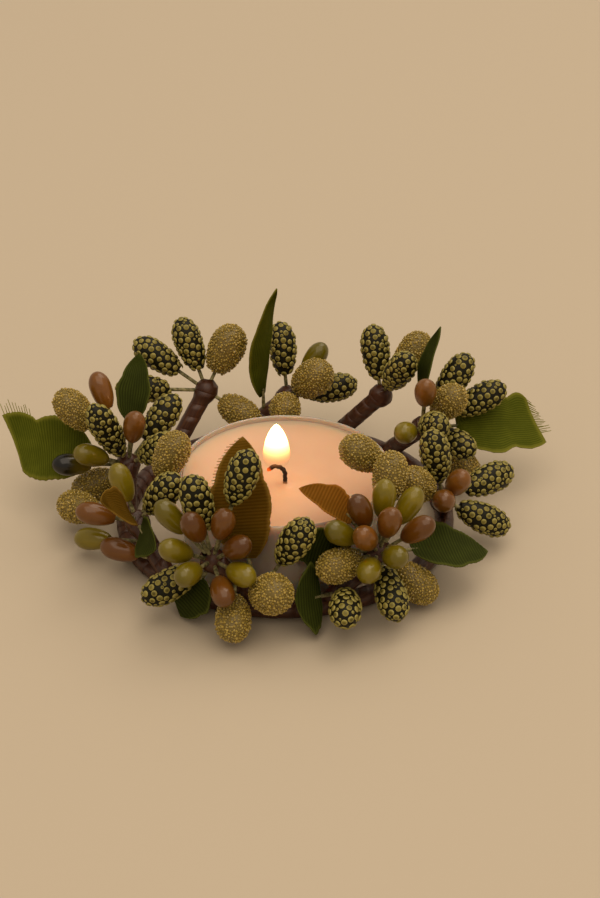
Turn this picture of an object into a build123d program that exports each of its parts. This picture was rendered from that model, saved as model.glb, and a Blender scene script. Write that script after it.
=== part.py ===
from build123d import *
from collections import namedtuple
from math import cos, degrees, radians, sin, sqrt
import os

# Candle ring: a wreath of artificial berries and cloth leaves round a tealight.
# Millimetres. The origin is the centre of the tealight's base, on the table. +Z is up, and the front
# of the ring faces -Y.

# Tealight
CUP_RADIUS = 19.0           # outside, at the rim
CUP_TAPER = 0.6             # how much narrower the base is than the rim
CUP_HEIGHT = 16.5
CUP_WALL = 0.6
CUP_FLOOR = 0.7
CUP_BASE_ROUND = 0.5
WAX_GAP = 0.05              # between the wax and everything that it was poured round
WAX_EDGE_DEPTH = 0.9        # below the rim
WAX_DISH_DEPTH = 2.4        # below the wax's own edge
WAX_DISH_STEEP = 0.8        # shares of the wax's radius between which the dish's side curves
WAX_DISH_FLAT = 0.5
WICK_RADIUS = 0.45
WICK_STAND = 2.1            # straight length above the middle of the dish
WICK_BEND_RADIUS = 1.6
WICK_BEND_TURN = 150        # degrees that the charred end curls over
SUSTAINER_RADIUS = 6.2
SUSTAINER_THICKNESS = 0.3
SUSTAINER_NECK_RADIUS = 1.3
SUSTAINER_NECK_HEIGHT = 3.2

# Hoop, a taped wire ring that lies on the table
HOOP_ROOM = 10.5            # from the cup's side to the hoop's centre line, as a mean round the ring
HOOP_SETBACK = 7.5          # how far the hoop's centre lies behind the tealight's
HOOP_WIRE_RADIUS = 0.9
TAPE_THICKNESS = 0.85
TAPE_GAP = 0.05             # between the wire and the tape

# Branches and stems
BRANCH_RADIUS = 1.7
KNOB_RADIUS = 2.4
KNOB_FLAT_RADIUS = 0.6      # of the flat end where the tape is cut off
BRANCH_SEAT_GAP = 0.03      # between a branch and the hoop that it is taped to
STEM_RADIUS = 0.35
STEM_GAP = 0.04             # round a stem in its hole
STEM_SEAT = 0.5             # length of a stem inside its branch
BERRY_SOCKET = 1.8          # length of a stem inside its berry

# Berries: length, and greatest radius
DOTTED_LENGTH = 10.5
DOTTED_RADIUS = 2.9
LONG_DOTTED_LENGTH = 13.0
LONG_DOTTED_RADIUS = 2.8
SUGARED_LENGTH = 9.0
SUGARED_RADIUS = 3.2
LARGE_SUGARED_LENGTH = 10.0
LARGE_SUGARED_RADIUS = 3.7
PIP_LENGTH = 7.2
PIP_RADIUS = 2.05
BERRY_NECK = 0.42           # radius of a berry's foot, as a share of its greatest radius
BERRY_SHOULDER = 0.6        # where a berry is widest, as a share of its length
BERRY_SWELL = 0.33          # how early its side swells out, as a share of the way to the shoulder

# Leaves
LEAF_THICKNESS = 0.45
STALK_RADIUS = 0.4
STALK_OVERLAP = 1.5         # length of a stalk glued along its blade
LEAF_FOOT = (0.0, 0.12)     # outline points as shares of the blade's length and width
LEAF_LOBES = ((0.30, 0.42), (0.62, 0.36))
LEAF_POINT = ((1.0, 0.0), (1.0, 0.0))       # end of a pointed leaf, on its left and right
LEAF_CUT = ((0.84, 0.36), (1.0, 0.30))      # ends of a leaf that is cut off at a slant
LEAF_SLANT = ((0.64, 0.40), (1.0, 0.34))    # ends of one that is cut off at a greater slant
LOBE_ROOM = 0.15            # a lobe's point nearer to the end than this share of the length is left out
LOBE_BULGE = 0.08           # how far each lobe swells between two points, as a share of the width
CLOTH_ALLOWANCE = 1.1       # the bent cloth that a blade is cut from, as a multiple of the blade's length

# Sizes that follow from those above
CUP_BASE_RADIUS = CUP_RADIUS - CUP_TAPER
WAX_EDGE_Z = CUP_HEIGHT - WAX_EDGE_DEPTH
WAX_MIDDLE_Z = WAX_EDGE_Z - WAX_DISH_DEPTH
WAX_FOOT_Z = CUP_FLOOR + WAX_GAP
HOOP_RADIUS = CUP_RADIUS + HOOP_ROOM
TAPE_INNER_RADIUS = HOOP_WIRE_RADIUS + TAPE_GAP
TAPE_RADIUS = TAPE_INNER_RADIUS + TAPE_THICKNESS
HOOP_CENTRE = Vector(0, HOOP_SETBACK, TAPE_RADIUS)

BERRY_SIZES = {
    "dotted": (DOTTED_LENGTH, DOTTED_RADIUS),
    "long_dotted": (LONG_DOTTED_LENGTH, LONG_DOTTED_RADIUS),
    "sugared": (SUGARED_LENGTH, SUGARED_RADIUS),
    "large_sugared": (LARGE_SUGARED_LENGTH, LARGE_SUGARED_RADIUS),
    "brown": (PIP_LENGTH, PIP_RADIUS),
    "green": (PIP_LENGTH, PIP_RADIUS),
}
BERRY_NODES = {
    "dotted_berries": ("dotted", "long_dotted"),
    "sugared_berries": ("sugared", "large_sugared"),
    "brown_pips": ("brown",),
    "green_pips": ("green",),
}

# A spray stands at an angle round the hoop, with its knob some depth below the cup's rim, and its branch
# leans to the hoop by a further angle. A stem leaves its branch at a root, measured down from the knob.
# It turns from the spray's outward direction, anticlockwise from above, and rises from the level.
# A berry's stem is the length from the root to the berry. A leaf's stalk is the same, roll tips the blade
# about the stalk, and bend is the radius that the blade droops along. Angles are in degrees.
Spray = namedtuple("Spray", "angle depth lean berries leaves")
Berry = namedtuple("Berry", "kind root turn rise stem")
Leaf = namedtuple("Leaf", "ends root turn rise stalk roll length width bend")

SPRAYS = {
    "left": Spray(171, 6.5, 20, [
        Berry("long_dotted", 0, 45, 65, 3.5),
        Berry("brown", 0, -43, 58, 11),
        Berry("brown", 0, 128, 70, 7),
        Berry("dotted", 0, -130, 40, 5.5),
        Berry("dotted", 0, 155, 38, 4.5),
        Berry("green", 0, 40, 30, 5),
        Berry("green", 0, 22, 8, 7),
        Berry("sugared", 0, -6, 46, 10),
        Berry("sugared", 0, 9, -35, 4),
    ], [
        Leaf(LEAF_SLANT, 0, -1, 8, 7, -50, 19, 13, 60),
        Leaf(LEAF_POINT, 0, -92, 64, 8, 0, 13, 7, 30),
    ]),
    "left_front": Spray(207, 7.5, 20, [
        Berry("sugared", 0, -65, -10, 10.5),
        Berry("green", 4, -50, -12, 8),
        Berry("brown", 8, -42, 8, 3.8),
        Berry("brown", 0, -30, 12, 4),
        Berry("dotted", 0, 125, 54, 4.5),
        Berry("sugared", 0, -175, 58, 9.5),
        Berry("green", 0, -60, 68, 4.5),
    ], [
        Leaf(LEAF_POINT, 0, 76, 13, 4, 70, 9, 8, 30),
        Leaf(LEAF_POINT, 0, 45, 50, 4, -50, 12, 8.5, 30),
    ]),
    "front_left": Spray(245, 6.5, 20, [
        Berry("green", 0, -72, 50, 7.4),
        Berry("dotted", 0, -88, 77, 6.4),
        Berry("dotted", 0, 112, 73, 12.8),
        Berry("brown", 0, -8, 62, 7.4),
        Berry("brown", 0, 50, 65, 7.8),
        Berry("brown", 0, 62, 42, 6.2),
        Berry("green", 0, -24, 35, 6),
        Berry("green", 0, 2, 19, 6.4),
        Berry("green", 0, 57, 16, 6.2),
        Berry("brown", 0, 36, 2, 6.2),
        Berry("large_sugared", 9, 50, 32, 4),
        Berry("sugared", 5, 24, -14, 4.5),
        Berry("dotted", 0, -45, -22, 3.5),
        Berry("dotted", 10, 95, 62, 9.7),
    ], [
        Leaf(LEAF_POINT, 0, -33, -52, 3.5, 0, 8, 13, 60),
        Leaf(LEAF_POINT, 10, -104, 76, 7.5, -64, 22, 12, 21),
    ]),
    "front_right": Spray(303, 6.5, -20, [
        Berry("green", 0, -88, 41, 7.4),
        Berry("brown", 0, -88, 68, 7.4),
        Berry("brown", 0, -14, 64, 6.4),
        Berry("brown", 0, -56, 47, 6),
        Berry("brown", 0, 30, 44, 6.4),
        Berry("green", 0, 76, 58, 6.6),
        Berry("sugared", 0, -82, 10, 5),
        Berry("green", 0, -46, 15, 5.4),
        Berry("green", 0, -16, 29, 5.4),
        Berry("dotted", 8, -35, 10, 3.8),
        Berry("dotted", 0, -20, -22, 3.5),
        Berry("sugared", 0, 42, -38, 4.2),
        Berry("sugared", 0, 130, 60, 9),
        Berry("green", 0, 88, 86, 7.4),
    ], [
        Leaf(LEAF_POINT, 10, -72, 22, 5, -68, 6, 13, 14),
        Leaf(LEAF_POINT, 0, -109, 16, 5.5, -88, 12, 9, 60),
        Leaf(LEAF_POINT, 0, 72, -3, 6, 10, 15, 12, 40),
        Leaf(LEAF_POINT, 0, -130, 54, 8, -14, 11, 7.5, 12),
    ]),
    "right_front": Spray(344, 6.5, 20, [
        Berry("sugared", 2.5, -139, 41, 18),
        Berry("sugared", 0, -122, 42, 5),
        Berry("brown", 0, -78, 32, 5.4),
        Berry("brown", 0, -46, 54, 4),
        Berry("dotted", 0, -154, 80, 4.6),
        Berry("dotted", 0, 48, 5, 5.4),
        Berry("dotted", 0, 15, -27, 3.5),
    ], []),
    "right": Spray(28, 4.5, 20, [
        Berry("green", 0, -137, 26, 9.6),
        Berry("dotted", 0, -111, 32, 6.6),
        Berry("brown", 0, -120, 60, 9.6),
        Berry("sugared", 0, -72, 53, 5.7),
        Berry("dotted", 0, -8, 57, 6.5),
        Berry("dotted", 0, -19, 26, 7.3),
        Berry("dotted", 0, -79, 5, 3.6),
        Berry("sugared", 0, -52, -38, 5.6),
    ], [
        Leaf(LEAF_CUT, 0, -24, 3, 6.5, 34, 17, 14, 60),
        Leaf(LEAF_POINT, 0, 57, 75, 5, -75, 15, 8, 40),
    ]),
    "right_back": Spray(51, 2.5, 20, [
        Berry("dotted", 0, -103, 56, 4),
        Berry("dotted", 0, 56, 66, 3.5),
        Berry("sugared", 0, -20, 46, 6),
    ], []),
    "back": Spray(89, 6.5, 20, [
        Berry("dotted", 0, 14, 66, 4.6),
        Berry("green", 0, -69, 53, 5.9),
        Berry("large_sugared", 0, -130, 45, 4.2),
        Berry("dotted", 0, -76, 5, 4),
        Berry("sugared", 0, 178, 15, 4),
    ], [
        Leaf(LEAF_POINT, 6, 160, 83, 5, 78, 27, 8, 75),
    ]),
    "back_left": Spray(121, 2.5, 20, [
        Berry("large_sugared", 0, -86, 58, 4.2),
        Berry("dotted", 0, 11, 60, 4.6),
        Berry("dotted", 0, 42, 31, 6.6),
        Berry("dotted", 0, 72, 9, 7.5),
        Berry("sugared", 0, -150, -22, 3.6),
    ], []),
}

QUARTER_HANDLE = 0.5523     # handle length that makes a Bezier curve follow a quarter of an ellipse
ON_AXIS = (Align.CENTER, Align.CENTER, Align.MIN)


def save(part, name):
    part.label = name
    export_step(part, f"parts/{name}.step")


def tealight_cup():
    with BuildPart() as cup:
        with BuildSketch(Plane.XZ):
            with BuildLine():
                Polyline(
                    (0, 0),
                    (CUP_BASE_RADIUS, 0),
                    (CUP_RADIUS, CUP_HEIGHT),
                    (CUP_RADIUS - CUP_WALL, CUP_HEIGHT),
                    (CUP_BASE_RADIUS - CUP_WALL, CUP_FLOOR),
                    (0, CUP_FLOOR),
                    close=True,
                )
            make_face()
        revolve(axis=Axis.Z)
        fillet(cup.edges().group_by(Axis.Z)[0], CUP_BASE_ROUND)
    return cup.part


def tealight_wax():
    slope = CUP_TAPER / CUP_HEIGHT
    foot_radius = CUP_BASE_RADIUS - CUP_WALL - WAX_GAP
    edge_radius = foot_radius + slope * (WAX_EDGE_Z - WAX_FOOT_Z)
    with BuildPart() as wax:
        with BuildSketch(Plane.XZ):
            with BuildLine():
                Polyline(
                    (0, WAX_MIDDLE_Z),
                    (0, WAX_FOOT_Z),
                    (foot_radius, WAX_FOOT_Z),
                    (edge_radius, WAX_EDGE_Z),
                )
                Bezier(
                    (edge_radius, WAX_EDGE_Z),
                    (WAX_DISH_STEEP * edge_radius, WAX_MIDDLE_Z),
                    (WAX_DISH_FLAT * edge_radius, WAX_MIDDLE_Z),
                    (0, WAX_MIDDLE_Z),
                )
            make_face()
        revolve(axis=Axis.Z)
        with Locations((0, 0, CUP_FLOOR)):
            for radius, height in (
                (SUSTAINER_RADIUS, SUSTAINER_THICKNESS),
                (SUSTAINER_NECK_RADIUS, SUSTAINER_NECK_HEIGHT),
                (WICK_RADIUS, CUP_HEIGHT),
            ):
                Cylinder(radius + WAX_GAP, height + 2 * WAX_GAP, align=ON_AXIS, mode=Mode.SUBTRACT)
    return wax.part


def wick_sustainer():
    with BuildPart(Plane.XY.offset(WAX_FOOT_Z)) as sustainer:
        Cylinder(SUSTAINER_RADIUS, SUSTAINER_THICKNESS, align=ON_AXIS)
        Cylinder(SUSTAINER_NECK_RADIUS, SUSTAINER_NECK_HEIGHT, align=ON_AXIS)
        Hole(WICK_RADIUS + WAX_GAP)
    return sustainer.part


def tealight_wick():
    straight_top = WAX_MIDDLE_Z + WICK_STAND
    with BuildPart() as wick:
        with BuildLine(Plane.XZ):
            straight = Line((0, WAX_FOOT_Z), (0, straight_top))
            CenterArc((-WICK_BEND_RADIUS, straight_top), WICK_BEND_RADIUS, 0, WICK_BEND_TURN)
        with BuildSketch(Plane(origin=straight @ 0, z_dir=straight % 0)):
            Circle(WICK_RADIUS)
        sweep()
    return wick.part


def hoop_wire():
    with BuildPart() as wire:
        with Locations(HOOP_CENTRE):
            Torus(HOOP_RADIUS, HOOP_WIRE_RADIUS)
    return wire.part


def hoop_tape():
    with BuildPart() as tape:
        with Locations(HOOP_CENTRE):
            Torus(HOOP_RADIUS, TAPE_RADIUS)
            Torus(HOOP_RADIUS, TAPE_INNER_RADIUS, mode=Mode.SUBTRACT)
    return tape.part


def berry(length, radius):
    """A berry on its foot at the origin, along +Z, with a blind hole for its stem."""
    shoulder = BERRY_SHOULDER * length
    with BuildPart() as body:
        with BuildSketch(Plane.XZ):
            with BuildLine():
                foot = Line((0, 0), (BERRY_NECK * radius, 0))
                side = Bezier(foot @ 1, (radius, BERRY_SWELL * shoulder), (radius, shoulder))
                bulge = shoulder + QUARTER_HANDLE * (length - shoulder)
                tip = Bezier(side @ 1, (radius, bulge), (QUARTER_HANDLE * radius, length), (0, length))
                Line(tip @ 1, foot @ 0)
            make_face()
        revolve(axis=Axis.Z)
        Cylinder(STEM_RADIUS + STEM_GAP, BERRY_SOCKET + STEM_GAP, align=ON_AXIS, mode=Mode.SUBTRACT)
    return body.part


def leaf(row, start):
    """A cloth leaf along +X on its stalk, with its blade drooping towards -Z."""
    reach = row.bend * sin(row.length / row.bend)
    droop_turn = CLOTH_ALLOWANCE * degrees(row.length / row.bend)
    with BuildPart() as piece:
        with BuildSketch():
            with BuildLine():
                sides = []
                for sign, end in zip((1, -1), row.ends):
                    lobes = [lobe for lobe in LEAF_LOBES if lobe[0] < end[0] - LOBE_ROOM]
                    shares = (LEAF_FOOT, *lobes, end)
                    points = [(row.stalk + x * reach, sign * y * row.width) for x, y in shares]
                    for here, there in zip(points, points[1:]):
                        SagittaArc(here, there, sign * LOBE_BULGE * row.width)
                    sides.append(points)
                Line(sides[0][0], sides[1][0])
                if row.ends is not LEAF_POINT:
                    Line(sides[0][-1], sides[1][-1])
            make_face()
        extrude(amount=row.length, both=True)
        with BuildSketch(Plane.XZ):
            with BuildLine():
                centre = (row.stalk, -row.bend)
                upper = CenterArc(centre, row.bend + LEAF_THICKNESS / 2, 90, -droop_turn)
                lower = CenterArc(centre, row.bend - LEAF_THICKNESS / 2, 90, -droop_turn)
                Line(upper @ 0, lower @ 0)
                Line(upper @ 1, lower @ 1)
            make_face()
        extrude(amount=row.width, both=True, mode=Mode.INTERSECT)
        with Locations(Plane(origin=(start, 0, 0), z_dir=(1, 0, 0))):
            Cylinder(STALK_RADIUS, row.stalk + STALK_OVERLAP - start, align=ON_AXIS)
    return piece.part


def on_hoop(angle, height):
    out = Vector(cos(radians(angle)), sin(radians(angle)), 0)
    return Vector(HOOP_CENTRE.X, HOOP_CENTRE.Y, height) + out * HOOP_RADIUS


def branch_ends(spray):
    """The middle of a spray's knob, and the point on the hoop's centre line that its branch leans to."""
    knob = on_hoop(spray.angle, CUP_HEIGHT - spray.depth)
    foot = on_hoop(spray.angle + spray.lean, HOOP_CENTRE.Z)
    return knob, foot


def aim(angle, rise):
    level = cos(radians(rise))
    return Vector(level * cos(radians(angle)), level * sin(radians(angle)), sin(radians(rise)))


def stem_start(row):
    """How far from its root a stem or stalk begins, so that its end sits in the knob or the branch."""
    return (BRANCH_RADIUS if row.root else KNOB_RADIUS) - STEM_SEAT


def stem_plane(spray, row, distance):
    """A plane square to a row's stem, some distance from its root."""
    knob, foot = branch_ends(spray)
    root = knob + (foot - knob).normalized() * row.root
    direction = aim(spray.angle + row.turn, row.rise)
    return Plane(origin=root + direction * distance, z_dir=direction)


def leaf_plane(spray, row):
    """A plane with +X along a leaf's stalk from its root, and +Z out of the blade's upper side."""
    at_root = stem_plane(spray, row, 0)
    along = at_root.z_dir
    side = Vector(0, 0, 1).cross(along).normalized()
    over = along.cross(side)
    roll = radians(row.roll)
    return Plane(origin=at_root.origin, x_dir=along, z_dir=over * cos(roll) - side * sin(roll))


def branch(spray):
    knob, foot = branch_ends(spray)
    along = Plane(origin=foot, z_dir=knob - foot)
    length = (knob - foot).length
    neck = (BRANCH_RADIUS, length - sqrt(KNOB_RADIUS**2 - BRANCH_RADIUS**2))
    flat = (KNOB_FLAT_RADIUS, length + sqrt(KNOB_RADIUS**2 - KNOB_FLAT_RADIUS**2))
    with BuildPart() as piece:
        with BuildSketch(Plane(origin=foot, x_dir=along.x_dir, z_dir=-along.y_dir)):
            with BuildLine():
                Polyline((0, 0), (BRANCH_RADIUS, 0), neck)
                ThreePointArc(neck, (KNOB_RADIUS, length), flat)
                Polyline(flat, (0, flat[1]), (0, 0))
            make_face()
        revolve(axis=Axis(foot, along.z_dir))
        with Locations(HOOP_CENTRE):
            Torus(HOOP_RADIUS, TAPE_RADIUS + BRANCH_SEAT_GAP, mode=Mode.SUBTRACT)
        for row in spray.berries:
            start = stem_start(row) - STEM_GAP
            with Locations(stem_plane(spray, row, start)):
                Cylinder(STEM_RADIUS + STEM_GAP, row.stem, align=ON_AXIS, mode=Mode.SUBTRACT)
        for row in spray.leaves:
            start = stem_start(row) - STEM_GAP
            with Locations(stem_plane(spray, row, start)):
                Cylinder(STALK_RADIUS + STEM_GAP, row.stalk, align=ON_AXIS, mode=Mode.SUBTRACT)
    return piece.part


def wire_stems(spray):
    with BuildPart() as stems:
        for row in spray.berries:
            start = stem_start(row)
            with Locations(stem_plane(spray, row, start)):
                Cylinder(STEM_RADIUS, row.stem + BERRY_SOCKET - start, align=ON_AXIS)
    return stems.part


def berry_group(spray, kinds):
    with BuildPart() as group:
        for row in spray.berries:
            if row.kind in kinds:
                with Locations(stem_plane(spray, row, row.stem)):
                    add(BERRIES[row.kind])
    return group.part


def leaf_group(spray):
    blades = [leaf(row, stem_start(row)) for row in spray.leaves]
    with BuildPart() as group:
        for row, blade in zip(spray.leaves, blades):
            with Locations(leaf_plane(spray, row)):
                add(blade)
    return group.part


os.makedirs("parts", exist_ok=True)
BERRIES = {kind: berry(length, radius) for kind, (length, radius) in BERRY_SIZES.items()}

save(tealight_cup(), "tealight_cup")
save(tealight_wax(), "tealight_wax")
save(tealight_wick(), "tealight_wick")
save(wick_sustainer(), "wick_sustainer")
save(hoop_wire(), "hoop_wire")
save(hoop_tape(), "hoop_tape")
for name, spray in SPRAYS.items():
    save(branch(spray), f"{name}_branch")
    save(wire_stems(spray), f"{name}_stems")
    for node, kinds in BERRY_NODES.items():
        if any(row.kind in kinds for row in spray.berries):
            save(berry_group(spray, kinds), f"{name}_{node}")
    if spray.leaves:
        save(leaf_group(spray), f"{name}_leaves")
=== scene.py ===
# %% [markdown]
# # A candle ring round a tealight
#
# Nine sprays of beaded berries, lacquered pips and cloth leaves stand on a taped wire hoop, and a tealight
# burns in the middle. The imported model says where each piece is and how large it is. This lesson keeps
# every piece in that place and gives it the skin of the real thing.
#
# The frame comes first, because everything below is measured from it. Sizes are written in millimetres,
# the unit that a maker would use, and each piece is scaled to metres when it is finished.

# %% Load the frame
from collections import namedtuple
from math import atan2, cos, floor, pi, radians, sin, sqrt

import bmesh
import bpy
import numpy as np
from mathutils import Matrix, Vector, noise
from mathutils.geometry import interpolate_bezier


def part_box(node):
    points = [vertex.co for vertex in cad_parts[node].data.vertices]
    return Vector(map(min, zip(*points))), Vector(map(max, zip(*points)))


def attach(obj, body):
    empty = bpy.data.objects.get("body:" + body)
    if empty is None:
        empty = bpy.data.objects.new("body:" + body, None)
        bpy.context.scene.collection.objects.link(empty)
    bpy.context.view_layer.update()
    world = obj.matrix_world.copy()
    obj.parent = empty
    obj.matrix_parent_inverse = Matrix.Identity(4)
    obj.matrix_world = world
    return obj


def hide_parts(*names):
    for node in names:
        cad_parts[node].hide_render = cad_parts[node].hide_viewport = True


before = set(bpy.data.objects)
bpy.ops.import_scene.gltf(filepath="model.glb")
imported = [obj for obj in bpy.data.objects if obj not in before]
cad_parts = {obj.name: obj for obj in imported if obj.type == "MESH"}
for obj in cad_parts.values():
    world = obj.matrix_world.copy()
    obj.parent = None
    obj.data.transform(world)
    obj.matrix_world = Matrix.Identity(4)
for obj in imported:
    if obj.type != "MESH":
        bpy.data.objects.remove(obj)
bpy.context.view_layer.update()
MM = 0.001


def box_mm(node_name):
    """A node's lowest and highest corners, in millimetres."""
    return [Vector(corner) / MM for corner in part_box(node_name)]


# %% [markdown]
# ## Finishing a piece
#
# Every piece below is shaped as a bmesh and then needs the same last steps: scale it to metres, smooth its
# round faces, give it its finishes, and say which body it rides on and which nodes it stands for. Edges
# sharper than 40 degrees stay crisp, so facets of a bead still glint while a berry looks round.

# %% Piece helper
CRISP_ANGLE = radians(40)


def finish_piece(name, bm, body, slot, nodes, *finishes):
    """Turn a bmesh in millimetres into a piece that rides on a body and stands for some nodes."""
    bmesh.ops.scale(bm, vec=(MM, MM, MM), verts=bm.verts)
    mesh = bpy.data.meshes.new(name)
    bm.to_mesh(mesh)
    bm.free()
    for finish in finishes:
        mesh.materials.append(finish)
    mesh.shade_smooth()
    mesh.set_sharp_from_angle(angle=CRISP_ANGLE)
    piece = bpy.data.objects.new(name, mesh)
    bpy.context.scene.collection.objects.link(piece)
    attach(piece, body)
    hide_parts(*nodes)
    print(f"{name}: {len(mesh.polygons)} faces")
    return piece


# %% [markdown]
# ## Colours and nodes
#
# Colours are picked as sRGB hex values, the way a colour picker shows them, but shader sockets expect
# linear light, so one function converts them. A second small function adds any node: its options are the
# settings on the node itself, and its inputs are plain values or the sockets that feed it. A Mix node has
# several sockets of one name, so they are given by place: 0 is the share, 6 and 7 are the two colours, and
# output 2 is the mixed colour.

# %% Material helpers
def linear(hex_code):
    """An sRGB hex colour as linear red, green, blue and alpha."""
    channels = [int(hex_code[i:i + 2], 16) / 255 for i in (1, 3, 5)]
    return [c / 12.92 if c <= 0.04045 else ((c + 0.055) / 1.055) ** 2.4 for c in channels] + [1.0]


def node(material, kind, inputs=None, **options):
    """Add one node to a material or a world, with its settings, values and links."""
    tree = material.node_tree
    made = tree.nodes.new(kind)
    for option, value in options.items():
        setattr(made, option, value)
    for socket, value in (inputs or {}).items():
        if isinstance(value, bpy.types.NodeSocket):
            tree.links.new(value, made.inputs[socket])
        else:
            made.inputs[socket].default_value = value
    return made


def blank(datablock):
    """A material or a world with an empty node tree."""
    datablock.use_nodes = True
    datablock.node_tree.nodes.clear()
    return datablock


def show(material, shader):
    node(material, "ShaderNodeOutputMaterial", {"Surface": shader.outputs[0]})
    return material


# %% [markdown]
# ## Floor
#
# The ring stands on a plain warm-beige floor. One wide disc of that colour is enough: it runs past the edge
# of the picture and takes the ring's soft shadow. A faint paper grain keeps it from looking like a flat fill.

# %% Stage
FLOOR_RADIUS = 3000
FLOOR_STEPS = 96
BEIGE = "#c4b6a0"


def floor_paint():
    """Matt paint: dull all over, with a grain that shows only close by."""
    paint = blank(bpy.data.materials.new("matt_beige_table"))
    coords = node(paint, "ShaderNodeTexCoord")
    grain = node(paint, "ShaderNodeTexNoise", {"Vector": coords.outputs["Object"], "Scale": 1 / (2 * MM)})
    bump = node(paint, "ShaderNodeBump", {"Height": grain.outputs[0], "Strength": 0.05, "Distance": 0.1 * MM})
    return show(paint, node(paint, "ShaderNodeBsdfPrincipled", {
        "Base Color": linear(BEIGE), "Roughness": 0.8, "Normal": bump.outputs[0]}))


bm = bmesh.new()
bmesh.ops.create_circle(bm, cap_ends=True, segments=FLOOR_STEPS, radius=FLOOR_RADIUS * MM)
floor_mesh = bpy.data.meshes.new("table_top")
bm.to_mesh(floor_mesh)
bm.free()
floor_mesh.materials.append(floor_paint())
table_top = bpy.data.objects.new("table_top", floor_mesh)
bpy.context.scene.collection.objects.link(table_top)
print(f"floor {2 * FLOOR_RADIUS * MM:.0f} m across")

# %% [markdown]
# ## Soft light
#
# A broad soft box hangs overhead, a little in front, and a weaker one behind the ring on the right. A
# small lamp would cut hard shadows between the berries, and these are wide enough to blur them. A dim even
# world fills the rest. What the camera sees past the floor has the floor's own colour.

# %% Lights
WORLD_LEVEL = 0.48
BACKDROP_LEVEL = 0.9
LIGHT_COLOUR = "#ffeed8"
SoftBox = namedtuple("SoftBox", "place size watts")
SOFT_BOXES = {
    "window": SoftBox(Vector((0.55, 0.8, 1.5)), 1.2, 9),
    "overhead": SoftBox(Vector((0.1, -0.45, 1.5)), 1.8, 13),
}

world = blank(bpy.data.worlds.new("soft_room"))
bpy.context.scene.world = world
rays = node(world, "ShaderNodeLightPath")
fill = node(world, "ShaderNodeBackground", {"Color": linear(LIGHT_COLOUR), "Strength": WORLD_LEVEL})
seen = node(world, "ShaderNodeBackground", {"Color": linear(BEIGE), "Strength": BACKDROP_LEVEL})
seen_rays = node(world, "ShaderNodeMath", {
    0: rays.outputs["Is Camera Ray"], 1: rays.outputs["Is Transmission Ray"]}, operation="MAXIMUM")
room = node(world, "ShaderNodeMixShader", {0: seen_rays.outputs[0], 1: fill.outputs[0], 2: seen.outputs[0]})
node(world, "ShaderNodeOutputWorld", {"Surface": room.outputs[0]})

for name, box in SOFT_BOXES.items():
    light = bpy.data.lights.new(name, "AREA")
    light.size = box.size
    light.energy = box.watts
    light.color = linear(LIGHT_COLOUR)[:3]
    lamp = bpy.data.objects.new(name, light)
    lamp.location = box.place
    lamp.rotation_euler = box.place.to_track_quat("Z", "Y").to_euler()
    bpy.context.scene.collection.objects.link(lamp)
bpy.context.scene.view_settings.view_transform = "Standard"
print(f"{len(SOFT_BOXES)} soft boxes")

# %% [markdown]
# ## Camera
#
# The camera looks down at 31 degrees through a long lens. The rim of a tealight is a circle of known size,
# so the ellipse that it makes in a picture gives the camera's distance and angle. That is surer than moving
# the camera about by eye.

# %% Camera
CAMERA_PLACE = Vector((0, -283.25, 193.5))
CAMERA_TILT = radians(90 - 31.41)
CAMERA_TURN = radians(-0.54)
PICTURE_HEIGHT_ANGLE = radians(27)
SENSOR_HEIGHT = 36
NEAREST_SEEN = 10

camera = bpy.data.cameras.new("camera")
camera.sensor_fit = "VERTICAL"
camera.sensor_height = SENSOR_HEIGHT
camera.angle_y = PICTURE_HEIGHT_ANGLE
camera.clip_start = NEAREST_SEEN * MM
viewer = bpy.data.objects.new("camera", camera)
viewer.location = CAMERA_PLACE * MM
viewer.rotation_euler = (CAMERA_TILT, 0, CAMERA_TURN)
bpy.context.scene.collection.objects.link(viewer)
bpy.context.scene.camera = viewer
print(f"lens {camera.lens:.1f} mm")

# %% [markdown]
# ## Turning an outline
#
# The cup, the wax, the flame and every berry are round about one axis. Such a shape could be a cylinder
# pushed about by hand, but spinning one outline is shorter and exact: draw half of the section, then spin
# it a full turn. The points that lie on the axis come out once for every step, so they are merged before
# the normals are made to point outwards.

# %% Outline helpers
MERGE = 1e-4


def curve(start, start_handle, end_handle, end, count):
    """Points along a Bezier curve, as (distance from the axis, height)."""
    return interpolate_bezier(Vector(start), Vector(start_handle), Vector(end_handle), Vector(end), count)


def turned(outline, steps):
    """A bmesh made by turning an outline of (distance from the axis, height) points about Z."""
    bm = bmesh.new()
    verts = [bm.verts.new((r, 0, z)) for r, z in outline]
    edges = [bm.edges.new(pair) for pair in zip(verts, verts[1:])]
    bmesh.ops.spin(bm, geom=verts + edges, axis=(0, 0, 1), cent=(0, 0, 0), angle=2 * pi, steps=steps,
                   use_merge=True)
    bmesh.ops.remove_doubles(bm, verts=bm.verts, dist=MERGE)
    bmesh.ops.recalc_face_normals(bm, faces=bm.faces)
    return bm


# %% [markdown]
# ## The tealight's cup
#
# The cup is moulded from clear polystyrene: a thin tapered wall, a flat base and a rounded rim. One
# outline goes up the outside, over the rim and down the inside. Wax clings to its inner side, so the wall
# looks half clear and half milky. It has a real thickness for light to bend through, and fine scratches
# break up its gloss.

# %% Cup
CUP_HIGH = box_mm("tealight_cup")[1]
CUP_RADIUS, CUP_HEIGHT = CUP_HIGH.x, CUP_HIGH.z
CUP_TAPER = 0.6
CUP_WALL = 0.6
CUP_FLOOR = 0.7
CUP_BASE_ROUND = 0.5
CUP_STEPS = 128
CUP_FOOT_POINTS = 6
LIP_STEP = 30               # degrees between the points of the rounded rim


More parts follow.
